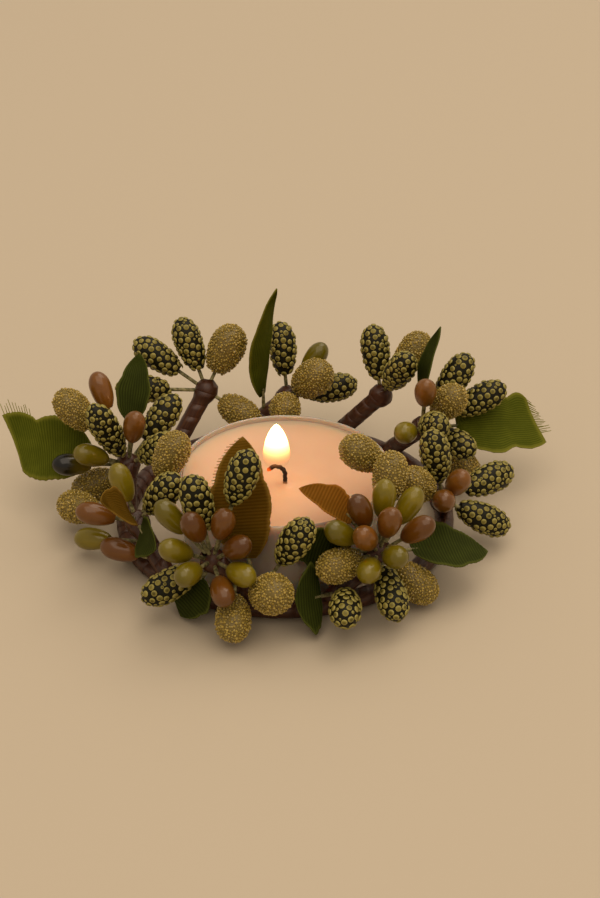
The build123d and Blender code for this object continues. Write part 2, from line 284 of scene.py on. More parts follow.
def clear_polystyrene():
    """Moulded plastic, half clear and half milky, with faint scratches that catch the light."""
    plastic = blank(bpy.data.materials.new("clear_polystyrene"))
    coords = node(plastic, "ShaderNodeTexCoord")
    scratches = node(plastic, "ShaderNodeTexNoise", {
        "Vector": coords.outputs["Object"], "Scale": 1 / (0.6 * MM), "Detail": 6.0})
    gloss = node(plastic, "ShaderNodeMapRange", {
        "Value": scratches.outputs[0], "From Min": 0.35, "From Max": 0.75, "To Min": 0.04, "To Max": 0.16})
    return show(plastic, node(plastic, "ShaderNodeBsdfPrincipled", {
        "Base Color": linear("#f2d6c6"), "Roughness": gloss.outputs[0], "IOR": 1.59,
        "Transmission Weight": 0.5, "Subsurface Weight": 1.0, "Subsurface Radius": (1.0, 0.6, 0.4),
        "Subsurface Scale": 2 * MM}))


def cup_outline():
    base = CUP_RADIUS - CUP_TAPER
    rim = CUP_WALL / 2
    lip_turns = [radians(step) for step in range(0, 180 + LIP_STEP, LIP_STEP)]
    lip = [(CUP_RADIUS - rim + rim * cos(a), CUP_HEIGHT - rim + rim * sin(a)) for a in lip_turns]
    corner = (base, 0)
    foot = curve((base - CUP_BASE_ROUND, 0), corner, corner, (base, CUP_BASE_ROUND), CUP_FOOT_POINTS)
    return [(0, 0), *foot, *lip, (base - CUP_WALL, CUP_FLOOR), (0, CUP_FLOOR)]


finish_piece("clear_cup", turned(cup_outline(), CUP_STEPS), "tealight", "clear_cup", ["tealight_cup"],
             clear_polystyrene())

# %% [markdown]
# ## The wax
#
# Paraffin wax fills the cup. Burning has dished its top, a shallow pool of melt lies round the wick, and a
# thin skin climbs the wall. Light goes into wax and comes out again some millimetres away, so it glows
# near the flame. Subsurface scattering gives that. The outline is turned, and then noise moves the top a
# little, because wax never sets quite level.

# %% Wax
WAX_LOW, WAX_HIGH = box_mm("tealight_wax")
DISH_DEPTH = 2.4
WAX_EDGE_Z = WAX_HIGH.z
WAX_MIDDLE_Z = WAX_EDGE_Z - DISH_DEPTH
DISH_STEEP = 0.8            # shares of the wax's radius between which the dish's side curves
DISH_FLAT = 0.5
DISH_POINTS = 40
POOL_RADIUS = 4.4
POOL_DEPTH = 0.16
POOL_EDGE = 16              # the higher, the more sudden the edge of the pool
MOUND_HEIGHT = 0.45         # of the wax that climbs the wick
MOUND_RADIUS = 0.9
MOUND_EDGE = 4
WAX_SWELL = 0.07
WAX_SWELL_SIZE = 5
SWELL_DEPTH = 1             # how far below the middle of the dish the top's noise reaches
SWELL_MARGIN = 0.5          # at the wall, where the top stays as it was turned


def paraffin():
    """Dyed paraffin: a soft peach body that light soaks into, with a smooth, slightly greasy top."""
    wax = blank(bpy.data.materials.new("peach_paraffin"))
    coords = node(wax, "ShaderNodeTexCoord")
    clouds = node(wax, "ShaderNodeTexNoise", {
        "Vector": coords.outputs["Object"], "Scale": 1 / (6 * MM), "Detail": 3.0})
    colour = node(wax, "ShaderNodeMix", {
        0: clouds.outputs[0], 6: linear("#dcae8c"), 7: linear("#e4bc98")}, data_type="RGBA")
    gloss = node(wax, "ShaderNodeMapRange", {
        "Value": clouds.outputs[0], "From Min": 0.3, "From Max": 0.7, "To Min": 0.28, "To Max": 0.42})
    return show(wax, node(wax, "ShaderNodeBsdfPrincipled", {
        "Base Color": colour.outputs[2], "Roughness": gloss.outputs[0], "IOR": 1.44,
        "Subsurface Weight": 0.8, "Subsurface Radius": (1.0, 0.55, 0.35), "Subsurface Scale": 4 * MM}))


def wax_outline():
    top = []
    for r, z in curve((WAX_HIGH.x, WAX_EDGE_Z), (DISH_STEEP * WAX_HIGH.x, WAX_MIDDLE_Z),
                      (DISH_FLAT * WAX_HIGH.x, WAX_MIDDLE_Z), (0, WAX_MIDDLE_Z), DISH_POINTS):
        pool = POOL_DEPTH / (1 + (r / POOL_RADIUS) ** POOL_EDGE)
        mound = MOUND_HEIGHT / (1 + (r / MOUND_RADIUS) ** MOUND_EDGE)
        top.append((r, z - pool + mound))
    foot = WAX_HIGH.x - CUP_TAPER
    return [(0, WAX_LOW.z), (foot, WAX_LOW.z), *top]


wax_mesh = turned(wax_outline(), CUP_STEPS)
for vert in wax_mesh.verts:
    if vert.co.z > WAX_MIDDLE_Z - SWELL_DEPTH and vert.co.xy.length < WAX_HIGH.x - SWELL_MARGIN:
        vert.co.z += WAX_SWELL * noise.noise(vert.co / WAX_SWELL_SIZE)
finish_piece("peach_wax", wax_mesh, "tealight", "wax", ["tealight_wax"], paraffin())

# %% [markdown]
# ## The wick
#
# The wick is braided cotton, burnt black where it stands clear of the wax and bent over to the left, with
# a glowing ember at its tip. A ring of vertices is drawn up for the straight part and then spun about the
# middle of the bend, which follows the real path. The share of the way along is stored on each vertex, so
# that the finish can go from waxed cotton to char and ember.

# %% Wick
WICK_RADIUS = 0.45
WICK_BEND = 1.6
WICK_TURN = radians(150)
WICK_STAND = 2.1
WICK_ROOT = 1.5             # how far the braid is modelled below the wax
WICK_SIDES = 14
WICK_DRAWS = 8
WICK_STEPS = 22
WICK_TOP_Z = WAX_MIDDLE_Z + WICK_STAND
WICK_FOOT_Z = WAX_MIDDLE_Z - WICK_ROOT
BRAID_STRANDS = 3
BRAID_DEPTH = 0.16
BRAID_TURN = 5.5            # radians of lay in each millimetre
TINY = 1e-6                 # keeps an angle steady where the wick lies level


def burnt_cotton():
    """A wick in use: waxed cotton at the foot, dull black char above, and a glowing tip."""
    wick = blank(bpy.data.materials.new("burnt_cotton"))
    along = node(wick, "ShaderNodeAttribute", attribute_name="along")
    coords = node(wick, "ShaderNodeTexCoord")
    ash = node(wick, "ShaderNodeTexNoise", {
        "Vector": coords.outputs["Object"], "Scale": 1 / (0.4 * MM), "Detail": 4.0})
    char = node(wick, "ShaderNodeMix", {
        0: ash.outputs[0], 6: linear("#120b07"), 7: linear("#3a2418")}, data_type="RGBA")
    burnt = node(wick, "ShaderNodeMapRange", {
        "Value": along.outputs["Fac"], "From Min": 0.2, "From Max": 0.3})
    colour = node(wick, "ShaderNodeMix", {
        0: burnt.outputs[0], 6: linear("#d9b48c"), 7: char.outputs[2]}, data_type="RGBA")
    ember = node(wick, "ShaderNodeMapRange", {
        "Value": along.outputs["Fac"], "From Min": 0.9, "From Max": 1.0, "To Max": 1.6})
    return show(wick, node(wick, "ShaderNodeBsdfPrincipled", {
        "Base Color": colour.outputs[2], "Roughness": 0.85, "Emission Color": linear("#ff5a14"),
        "Emission Strength": ember.outputs[0]}))


def wick_braid():
    bm = bmesh.new()
    along = bm.verts.layers.float.new("along")
    foot = Matrix.Translation((0, 0, WICK_FOOT_Z))
    radius = WICK_RADIUS - BRAID_DEPTH / 2
    straight = WICK_TOP_Z - WICK_FOOT_Z
    bmesh.ops.create_circle(bm, segments=WICK_SIDES, radius=radius, matrix=foot)
    edges = list(bm.edges)
    for _ in range(WICK_DRAWS):
        drawn = bmesh.ops.extrude_edge_only(bm, edges=edges)["geom"]
        edges = [item for item in drawn if isinstance(item, bmesh.types.BMEdge)]
        ring = [item for item in drawn if isinstance(item, bmesh.types.BMVert)]
        bmesh.ops.translate(bm, vec=(0, 0, straight / WICK_DRAWS), verts=ring)
    spun = bmesh.ops.spin(bm, geom=ring + edges, axis=(0, -1, 0), cent=(-WICK_BEND, 0, WICK_TOP_Z),
                          angle=WICK_TURN, steps=WICK_STEPS)["geom_last"]
    bmesh.ops.contextual_create(bm, geom=[item for item in spun if isinstance(item, bmesh.types.BMEdge)])
    bmesh.ops.recalc_face_normals(bm, faces=bm.faces)
    bm.normal_update()
    whole = straight + WICK_BEND * WICK_TURN
    for vert in bm.verts:
        x, y, z = vert.co
        bend = max(0.0, atan2(z - WICK_TOP_Z, x + WICK_BEND))
        run = straight + WICK_BEND * bend if z > WICK_TOP_Z else z - WICK_FOOT_Z
        vert[along] = run / whole
        middle_x = -WICK_BEND + WICK_BEND * cos(bend)
        around = atan2(y, (x - middle_x) * cos(bend) + TINY)
        vert.co += vert.normal * BRAID_DEPTH / 2 * sin(BRAID_STRANDS * around + BRAID_TURN * run)
    return bm


finish_piece("burnt_wick", wick_braid(), "tealight", "wick", ["tealight_wick"], burnt_cotton())

# %% [markdown]
# ## The flame
#
# A candle flame is a thin shell of glowing soot, white to the eye, that fades to nothing at its foot. A
# turned teardrop with an emission shader is enough, and because it really shines, it warms the wax and
# puts an orange glint on every bead and pip that faces it. It fades by its height, which is the same from
# every side.

# %% Flame
FLAME_FOOT_Z = 16.9
FLAME_WIDE_Z = 19.4
FLAME_TOP_Z = 25.7
FLAME_RADIUS = 2.4
FLAME_FOOT_FLARE = 0.8      # shares of the flame's radius that the curves' handles reach to
FLAME_TIP_FLARE = 0.4
FLAME_FOOT_RISE = 1         # heights of the other handles from the foot, the widest place and the tip
FLAME_SHOULDER_RISE = 2.8
FLAME_TIP_DROP = 0.6
FLAME_FOOT_POINTS = 10
FLAME_TIP_POINTS = 16
FLAME_STEPS = 32
FLAME_LEVEL = 14.0
FLAME_MIDDLE_X = -1.5


def glowing_soot():
    """Glowing soot: clear at the foot, amber above it, then white-hot."""
    flame = blank(bpy.data.materials.new("glowing_soot"))
    coords = node(flame, "ShaderNodeTexCoord")
    place = node(flame, "ShaderNodeSeparateXYZ", {"Vector": coords.outputs["Object"]})
    height = node(flame, "ShaderNodeMapRange", {
        "Value": place.outputs["Z"], "From Min": FLAME_FOOT_Z * MM, "From Max": FLAME_TOP_Z * MM},
        interpolation_type="SMOOTHSTEP")
    heat = node(flame, "ShaderNodeMix", {
        0: height.outputs[0], 6: linear("#ff8c34"), 7: linear("#ffce8c")}, data_type="RGBA")
    level = node(flame, "ShaderNodeMath", {0: height.outputs[0], 1: FLAME_LEVEL}, operation="MULTIPLY")
    shine = node(flame, "ShaderNodeEmission", {"Color": heat.outputs[2], "Strength": level.outputs[0]})
    clear = node(flame, "ShaderNodeBsdfTransparent")
    return show(flame, node(flame, "ShaderNodeMixShader", {
        0: height.outputs[0], 1: clear.outputs[0], 2: shine.outputs[0]}))


flame_foot = curve((0, FLAME_FOOT_Z), (FLAME_FOOT_FLARE * FLAME_RADIUS, FLAME_FOOT_Z),
                   (FLAME_RADIUS, FLAME_FOOT_Z + FLAME_FOOT_RISE), (FLAME_RADIUS, FLAME_WIDE_Z),
                   FLAME_FOOT_POINTS)
flame_tip = curve((FLAME_RADIUS, FLAME_WIDE_Z), (FLAME_RADIUS, FLAME_WIDE_Z + FLAME_SHOULDER_RISE),
                  (FLAME_TIP_FLARE * FLAME_RADIUS, FLAME_TOP_Z - FLAME_TIP_DROP), (0, FLAME_TOP_Z),
                  FLAME_TIP_POINTS)
flame_mesh = turned([*flame_foot, *flame_tip[1:]], FLAME_STEPS)
bmesh.ops.translate(flame_mesh, vec=(FLAME_MIDDLE_X, 0, 0), verts=flame_mesh.verts)
finish_piece("flame", flame_mesh, "tealight", None, [], glowing_soot())

# %% [markdown]
# ## Hidden steel
#
# The wick's sustainer lies at the bottom of the wax, and the hoop's wire lies inside its tape. Their
# shapes in the frame are right already, so they stay and only get a finish: drawn steel, which is a metal
# with fine streaks in its roughness.

# %% Steel
def drawn_steel():
    """Drawn and tinned steel: a grey metal, streaked by the die."""
    steel = blank(bpy.data.materials.new("drawn_steel"))
    coords = node(steel, "ShaderNodeTexCoord")
    streaks = node(steel, "ShaderNodeTexNoise", {
        "Vector": coords.outputs["Object"], "Scale": 1 / (0.5 * MM), "Detail": 5.0})
    gloss = node(steel, "ShaderNodeMapRange", {
        "Value": streaks.outputs[0], "To Min": 0.22, "To Max": 0.48})
    return show(steel, node(steel, "ShaderNodeBsdfPrincipled", {
        "Base Color": linear("#a9a8a4"), "Metallic": 1.0, "Roughness": gloss.outputs[0]}))


def refinish(node_name, finish):
    """Give a node of the frame a new finish, and leave its shape alone."""
    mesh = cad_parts[node_name].data
    mesh.materials.clear()
    mesh.materials.append(finish)


steel = drawn_steel()
for hidden in ("wick_sustainer", "hoop_wire"):
    refinish(hidden, steel)
print("steel on the sustainer and the hoop's wire")

# %% [markdown]
# ## Wound paper tape
#
# The hoop and the branches are wire wrapped in red-brown crepe paper tape. Each turn laps over the last,
# which leaves a small step that runs round in a spiral. A bump map could hint at it, but the step shows at
# the outline, so the tape is really wound: one short edge is spun many times about the axis while it moves
# along by one pitch a turn. A straight winding is made first. For a branch it swells over the knob, and
# for the hoop it is bent round until its ends meet.

# %% Tape
HOOP_LOW, HOOP_HIGH = box_mm("hoop_tape")
HOOP_CENTRE = (HOOP_LOW + HOOP_HIGH) / 2
TAPE_RADIUS = (HOOP_HIGH.z - HOOP_LOW.z) / 2
HOOP_RADIUS = (HOOP_HIGH.x - HOOP_LOW.x) / 2 - TAPE_RADIUS
TAPE_PITCH = 2.7
TAPE_LAP = 1.35             # width of the strip, as a multiple of its pitch
TAPE_STEP = 0.08
TAPE_STEPS = 20
TAPE_CUTS = 2
TAPE_THICKNESS = 0.12
STREAK = 0.12               # draws the creases out along the winding


def crepe_paper():
    """Waxed crepe paper: a dull red-brown with dark blotches and fine creases, paler on the raised creases,
    partly as flecks and partly as painted highlight.
    """
    paper = blank(bpy.data.materials.new("red_brown_crepe_paper"))
    wound = node(paper, "ShaderNodeAttribute", attribute_name="wound")
    coords = node(paper, "ShaderNodeTexCoord")
    creases = node(paper, "ShaderNodeTexNoise", {
        "Vector": wound.outputs["Vector"], "Scale": 2.2, "Detail": 5.0, "Roughness": 0.65})
    blotches = node(paper, "ShaderNodeTexNoise", {
        "Vector": coords.outputs["Object"], "Scale": 1 / (5 * MM), "Detail": 3.0})
    dark = node(paper, "ShaderNodeMix", {
        0: blotches.outputs[0], 6: linear("#241006"), 7: linear("#52280e")}, data_type="RGBA")
    # Pale streaks on the raised creases, drawn out along the tape: partly the paper's own flecks, partly
    # painted highlight.
    fleck_and_highlight = node(paper, "ShaderNodeMapRange", {
        "Value": creases.outputs[0], "From Min": 0.5, "From Max": 0.8, "To Max": 0.5})
    colour = node(paper, "ShaderNodeMix", {
        0: fleck_and_highlight.outputs[0], 6: dark.outputs[2], 7: linear("#84501f")}, data_type="RGBA")
    bump = node(paper, "ShaderNodeBump", {
        "Height": creases.outputs[0], "Strength": 0.5, "Distance": 0.12 * MM})
    return show(paper, node(paper, "ShaderNodeBsdfPrincipled", {
        "Base Color": colour.outputs[2], "Roughness": 0.42, "Normal": bump.outputs[0]}))


def wind_tape(turns, radius, pitch):
    """A straight winding of tape along +Z, each turn lapping over the one before it."""
    bm = bmesh.new()
    inner = bm.verts.new((radius - TAPE_STEP, 0, 0))
    outer = bm.verts.new((radius, 0, TAPE_LAP * pitch))
    strip = bm.edges.new((inner, outer))
    bmesh.ops.subdivide_edges(bm, edges=[strip], cuts=TAPE_CUTS)
    bmesh.ops.spin(bm, geom=bm.verts[:] + bm.edges[:], axis=(0, 0, 1), cent=(0, 0, 0),
                   dvec=(0, 0, pitch / TAPE_STEPS), angle=2 * pi * turns, steps=TAPE_STEPS * turns)
    wound = bm.verts.layers.float_vector.new("wound")
    for vert in bm.verts:
        vert[wound] = (vert.co.x, vert.co.y, STREAK * vert.co.z)
    return bm


def paper_edge(piece):
    """Give the wound strip the thickness of paper."""
    wall = piece.modifiers.new("paper", "SOLIDIFY")
    wall.thickness = TAPE_THICKNESS * MM
    wall.offset = 0


paper = crepe_paper()
hoop_turns = round(2 * pi * HOOP_RADIUS / TAPE_PITCH)
hoop = wind_tape(hoop_turns, TAPE_RADIUS - TAPE_THICKNESS / 2, 2 * pi * HOOP_RADIUS / hoop_turns)
for vert in hoop.verts:
    turn = vert.co.z / HOOP_RADIUS
    reach = HOOP_RADIUS + vert.co.x
    vert.co = HOOP_CENTRE + Vector((reach * cos(turn), reach * sin(turn), vert.co.y))
paper_edge(finish_piece("hoop_winding", hoop, "wreath", "paper_tape", ["hoop_tape"], paper))

# %% [markdown]
# ## Branches
#
# A branch rises from the hoop and ends in a knob, where the tape is wound thickest over the stems. Each
# spray is given by its angle round the hoop, how far its knob lies below the cup's rim, and how far its
# branch leans round to the hoop.

# %% Branches
BRANCH_RADIUS = 1.7
KNOB_RADIUS = 2.4
KNOB_END = 0.2
Spray = namedtuple("Spray", "angle depth lean")
SPRAYS = {
    "left": Spray(171, 6.5, 20),
    "left_front": Spray(207, 7.5, 20),
    "front_left": Spray(245, 6.5, 20),
    "front_right": Spray(303, 6.5, -20),
    "right_front": Spray(344, 6.5, 20),
    "right": Spray(28, 4.5, 20),
    "right_back": Spray(51, 2.5, 20),
    "back": Spray(89, 6.5, 20),
    "back_left": Spray(121, 2.5, 20),
}


def on_hoop(angle, height):
    out = Vector((cos(radians(angle)), sin(radians(angle)), 0))
    return Vector((HOOP_CENTRE.x, HOOP_CENTRE.y, height)) + out * HOOP_RADIUS


def branch_ends(spray):
    """The middle of a spray's knob, and the place on the hoop that its branch leans to."""
    knob = on_hoop(spray.angle, CUP_HEIGHT - spray.depth)
    foot = on_hoop(spray.angle + spray.lean, HOOP_CENTRE.z)
    return knob, foot


def knob_swell(height, length):
    """How much wider than the branch the winding is at a height."""
    inside = KNOB_RADIUS ** 2 - (height - length) ** 2
    knob = sqrt(max(inside, KNOB_END ** 2)) / BRANCH_RADIUS
    return max(knob, 1.0) if height < length else knob


def branch_winding(spray):
    knob, foot = branch_ends(spray)
    length = (knob - foot).length
    end = length + KNOB_RADIUS
    bm = wind_tape(floor(end / TAPE_PITCH), BRANCH_RADIUS - TAPE_THICKNESS / 2, TAPE_PITCH)
    for vert in bm.verts:
        height = min(vert.co.z, end)
        swell = knob_swell(height, length)
        vert.co = Vector((vert.co.x * swell, vert.co.y * swell, height))
    stand = (knob - foot).to_track_quat("Z", "Y").to_matrix().to_4x4()
    bmesh.ops.transform(bm, matrix=Matrix.Translation(foot) @ stand, verts=bm.verts)
    return bm


for name, spray in SPRAYS.items():
    winding = finish_piece(f"{name}_winding", branch_winding(spray), "wreath", "paper_tape",
                           [f"{name}_branch"], paper)
    paper_edge(winding)

# %% [markdown]
# ## Wire stems
#
# Each berry stands on a thin wire in a pale green paper sleeve. The frame has them as they are, so they
# keep their shape. The sleeve is twisted paper: cream where it is rubbed and olive in the twist.

# %% Stems
def paper_sleeve():
    """Twisted paper over wire: a dry pale green, rubbed to cream."""
    sleeve = blank(bpy.data.materials.new("paper_wire_sleeve"))
    coords = node(sleeve, "ShaderNodeTexCoord")
    twist = node(sleeve, "ShaderNodeTexNoise", {
        "Vector": coords.outputs["Object"], "Scale": 1 / (0.8 * MM), "Detail": 4.0})
    rubbed = node(sleeve, "ShaderNodeMapRange", {
        "Value": twist.outputs[0], "From Min": 0.35, "From Max": 0.65})
    colour = node(sleeve, "ShaderNodeMix", {
        0: rubbed.outputs[0], 6: linear("#4c4820"), 7: linear("#a59c6c")}, data_type="RGBA")
    bump = node(sleeve, "ShaderNodeBump", {
        "Height": twist.outputs[0], "Strength": 0.6, "Distance": 0.1 * MM})
    return show(sleeve, node(sleeve, "ShaderNodeBsdfPrincipled", {
        "Base Color": colour.outputs[2], "Roughness": 0.65, "Normal": bump.outputs[0]}))


sleeve = paper_sleeve()
for name in SPRAYS:
    refinish(f"{name}_stems", sleeve)
print(f"paper sleeves on the stems of {len(SPRAYS)} sprays")

# %% [markdown]
# ## Where the berries are
#
# A node holds all the berries of one kind on one spray, each a separate solid. Typing in every berry's
# place would repeat the model, so it is measured instead. The triangles of a node are gathered into
# solids by walking from face to face. A solid's second moments give its long axis. Its middle lies nearer
# to the tip than to the foot, which tells the two ends apart.

# %% Measure the berries
Egg = namedtuple("Egg", "foot axis length radius")


def solids_of(node_name):
    """The separate solids of a node, each as an array of triangle corners in millimetres."""
    bm = bmesh.new()
    bm.from_mesh(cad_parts[node_name].data)
    bmesh.ops.remove_doubles(bm, verts=bm.verts, dist=MERGE * MM)
    waiting = set(bm.faces)
    solids = []
    while waiting:
        reached = [waiting.pop()]
        solid = []
        while reached:
            face = reached.pop()
            solid.append([tuple(vert.co) for vert in face.verts])
            for edge in face.edges:
                for beside in edge.link_faces:
                    if beside in waiting:
                        waiting.remove(beside)
                        reached.append(beside)
        solids.append(np.array(solid) / MM)
    bm.free()
    return sorted(solids, key=lambda solid: tuple(solid.mean(axis=(0, 1)).round(3)))


def egg_of(solid):
    """A berry's foot, axis, length and radius, from the moments of its solid.

    Each triangle makes a tetrahedron with the start, and 6, 4 and 20 are the divisors of a tetrahedron's
    volume, middle and second moments.
    """
    start = solid.mean(axis=(0, 1))
    a, b, c = (solid - start).transpose(1, 0, 2)
    volumes = np.einsum("ij,ij->i", a, np.cross(b, c)) / 6
    middle = np.einsum("i,ij->j", volumes, a + b + c) / (4 * volumes.sum())
    moments = sum(np.einsum("i,ij,ik->jk", volumes, p, p) for p in (a, b, c, a + b + c)) / 20
    moments -= volumes.sum() * np.outer(middle, middle)
    axis = np.linalg.eigh(moments)[1][:, -1]
    points = solid.reshape(-1, 3) - start - middle
    heights = points @ axis
    if heights.max() > -heights.min():
        axis, heights = -axis, -heights
    radius = np.linalg.norm(np.cross(points, axis), axis=1).max()
    return Egg(Vector(start + middle + axis * heights.min()), Vector(axis), np.ptp(heights), radius)


EGGS = {}
for kind in ("dotted_berries", "sugared_berries", "brown_pips", "green_pips"):
    for name in SPRAYS:
        if f"{name}_{kind}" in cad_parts:
            EGGS[name, kind] = [egg_of(solid) for solid in solids_of(f"{name}_{kind}")]
print(f"{sum(len(eggs) for eggs in EGGS.values())} berries in {len(EGGS)} nodes")

# %% [markdown]
# ## The berries' common form
#
# Every berry is an egg on a narrow foot: the side swells to the shoulder, and the tip is a quarter of an
# ellipse. Beads and dots are then laid on it. Random places are drawn evenly over the skin's area, and any
# that falls too near an earlier one is dropped, which gives the close but uneven cover of a dipped berry.

# %% Berry helpers
NECK = 0.42                 # radius of the foot, as a share of the greatest radius
SHOULDER = 0.6              # where the egg is widest, as a share of its length
SWELL = 0.33                # how early the side swells out, as a share of the way to the shoulder
ROUND = 0.5523              # handle length that makes a curve follow a quarter of an ellipse
KNEE_SHARE = 2 / 3          # turns a curve with one handle into the same curve with two
EGG_POINTS = 9
EGG_STEPS = 28


def egg_outline(length, radius, count):
    """An egg's outline from its foot on the axis to its tip."""
    shoulder = SHOULDER * length
    bulge = shoulder + ROUND * (length - shoulder)
    foot, widest = Vector((NECK * radius, 0)), Vector((radius, shoulder))
    knee = Vector((radius, SWELL * shoulder))
    side = curve(foot, foot.lerp(knee, KNEE_SHARE), widest.lerp(knee, KNEE_SHARE), widest, count)
    tip = curve(widest, (radius, bulge), (ROUND * radius, length), (0, length), count)
    return [Vector((0, 0)), *side, *tip[1:]]


def skin_points(outline, count, rng):
    """Random places on a turned skin, even over its area, and the direction out of the skin at each."""
    points = np.array(outline[1:])
    runs = np.diff(points, axis=0)
    lengths = np.linalg.norm(runs, axis=1)
    areas = (points[1:, 0] + points[:-1, 0]) * lengths
    pick = rng.choice(len(runs), count, p=areas / areas.sum())
    radius, height = (points[pick] + runs[pick] * rng.random((count, 1))).T
    out, up = runs[pick, 1] / lengths[pick], -runs[pick, 0] / lengths[pick]
    turn = rng.uniform(0, 2 * pi, count)
    places = np.column_stack([radius * np.cos(turn), radius * np.sin(turn), height])
    return places, np.column_stack([out * np.cos(turn), out * np.sin(turn), up])


def spread_out(places, spacing):
    """The places to keep, so that none is nearer than a spacing to one before it."""
    free = np.ones(len(places), bool)
    kept = []
    for i, place in enumerate(places):
        if free[i]:
            kept.append(i)
            free &= np.linalg.norm(places - place, axis=1) > spacing
    return kept


def stamp(group, shape, matrix):
    """Copy a mesh into a bmesh at a place, and give back its new vertices."""
    first = len(group.verts)
    group.from_mesh(shape)
    group.verts.ensure_lookup_table()
    fresh = group.verts[first:]
    bmesh.ops.transform(group, matrix=matrix, verts=fresh)
    return fresh


def frozen(bm, finish_number=0):
    """A bmesh as a plain mesh for stamping, with all its faces in one finish."""
    for face in bm.faces:
        face.material_index = finish_number
    mesh = bpy.data.meshes.new("stamp")
    bm.to_mesh(mesh)
    bm.free()
    return mesh


def upright(axis):
    """The turn that takes +Z to an axis."""
    return Vector(axis).to_track_quat("Z", "Y").to_matrix().to_4x4()


def egg_place(egg):
    return Matrix.Translation(egg.foot) @ upright(egg.axis)


# %% [markdown]
# ## Dotted berries
#
# A dotted berry is a black-green foam egg with raised dots of cream paint: large ones about a millimetre
# across, and small ones in the gaps. Paint dries thickest at the edge of a drop, so each dot is palest
# round its rim. The dots are domes cut from a ball, because they stand out at the outline of the berry.

# %% Dotted berries
SKIN_DEPTH = 0.25
BIG_DOT = (0.5, 0.58)       # least and greatest radius
SMALL_DOT = (0.22, 0.34)
BIG_SPACING = 1.14
SMALL_SPACING = 0.55
DOT_GAP = 0.02
DOT_HEIGHT = 0.5
DOT_TRIES = 2600
DOT_SEED = 11
DOME_SIDES = 9
DOME_RINGS = 6


def black_foam():
    """Painted foam: almost black, slightly green, with a soft satin gloss."""
    foam = blank(bpy.data.materials.new("black_green_foam"))
    coords = node(foam, "ShaderNodeTexCoord")
    pores = node(foam, "ShaderNodeTexNoise", {
        "Vector": coords.outputs["Object"], "Scale": 1 / (0.5 * MM), "Detail": 4.0})
    colour = node(foam, "ShaderNodeMix", {
        0: pores.outputs[0], 6: linear("#090802"), 7: linear("#1e1c06")}, data_type="RGBA")
    bump = node(foam, "ShaderNodeBump", {
        "Height": pores.outputs[0], "Strength": 0.5, "Distance": 0.1 * MM})
    return show(foam, node(foam, "ShaderNodeBsdfPrincipled", {
        "Base Color": colour.outputs[2], "Roughness": 0.5, "Specular IOR Level": 0.2,
        "Normal": bump.outputs[0]}))


def cream_paint():
    """Thick drops of cream paint: olive in the middle, paler at the rim, with a soft gloss."""
    paint = blank(bpy.data.materials.new("cream_dot_paint"))
    rim = node(paint, "ShaderNodeAttribute", attribute_name="rim")
    tint = node(paint, "ShaderNodeAttribute", attribute_name="tint")
    middle = node(paint, "ShaderNodeMix", {
        0: tint.outputs["Fac"], 6: linear("#564e16"), 7: linear("#887c38")}, data_type="RGBA")
    edge = node(paint, "ShaderNodeMapRange", {
        "Value": rim.outputs["Fac"], "From Min": 0.35, "From Max": 0.9}, interpolation_type="SMOOTHSTEP")
    colour = node(paint, "ShaderNodeMix", {
        0: edge.outputs[0], 6: middle.outputs[2], 7: linear("#9c9048")}, data_type="RGBA")
    return show(paint, node(paint, "ShaderNodeBsdfPrincipled", {
        "Base Color": colour.outputs[2], "Roughness": 0.4, "Specular IOR Level": 0.3}))


def paint_dome():
    """A dome one unit across its radius, cut from a ball."""
    bm = bmesh.new()
    bmesh.ops.create_uvsphere(bm, u_segments=DOME_SIDES, v_segments=DOME_RINGS, radius=1)
    bmesh.ops.bisect_plane(bm, geom=bm.verts[:] + bm.edges[:] + bm.faces[:], plane_co=(0, 0, 0),
                           plane_no=(0, 0, 1), clear_inner=True)
    bmesh.ops.scale(bm, vec=(1, 1, DOT_HEIGHT), verts=bm.verts)
    return frozen(bm, 1)


def dot_places(outline, rng):
    """Big dots first, then small ones in the gaps: places, directions and radii."""
    places, outward = skin_points(outline, DOT_TRIES, rng)
    big = spread_out(places, BIG_SPACING)
    sizes = rng.uniform(*BIG_DOT, len(big))
    dots = list(zip(places[big], outward[big], sizes))
    taken = places[big]
    places, outward = skin_points(outline, DOT_TRIES, rng)
    small_sizes = rng.uniform(*SMALL_DOT, len(places))
    for i in spread_out(places, SMALL_SPACING):
        room = np.linalg.norm(taken - places[i], axis=1) - sizes
        if room.min() > small_sizes[i] + DOT_GAP:
            dots.append((places[i], outward[i], small_sizes[i]))
    return dots


def dotted_group(eggs, rng):
    group = bmesh.new()
    rim = group.verts.layers.float.new("rim")
    tint = group.verts.layers.float.new("tint")
    rim_shares = [Vector(vert.co).xy.length for vert in DOME.vertices]
    for egg in eggs:
        outline = egg_outline(egg.length - SKIN_DEPTH, egg.radius - SKIN_DEPTH, EGG_POINTS)
        stamp(group, frozen(turned(outline, EGG_STEPS)), egg_place(egg))
        for place, outward, size in dot_places(outline, rng):
            dot = Matrix.Translation(place) @ upright(outward) @ Matrix.Scale(size, 4)
            shade = rng.random()
            for vert, share in zip(stamp(group, DOME, egg_place(egg) @ dot), rim_shares):
                vert[rim] = share
                vert[tint] = shade
    return group


DOME = paint_dome()
foam, dot_paint = black_foam(), cream_paint()
rng = np.random.default_rng(DOT_SEED)
for name in SPRAYS:
    if (name, "dotted_berries") in EGGS:
        finish_piece(f"{name}_dotted", dotted_group(EGGS[name, "dotted_berries"], rng), "wreath",
                     "dotted_berry", [f"{name}_dotted_berries"], foam, dot_paint)

# %% [markdown]
# ## Sugared berries
#
# A sugared berry is rolled in small glass beads while its glue is wet. Each bead is a ball of twenty
# facets: few enough to repeat by the hundred, and the flat facets glint as real beads do. They are sunk
# into a khaki skin to different depths, and each has a slightly different shade.

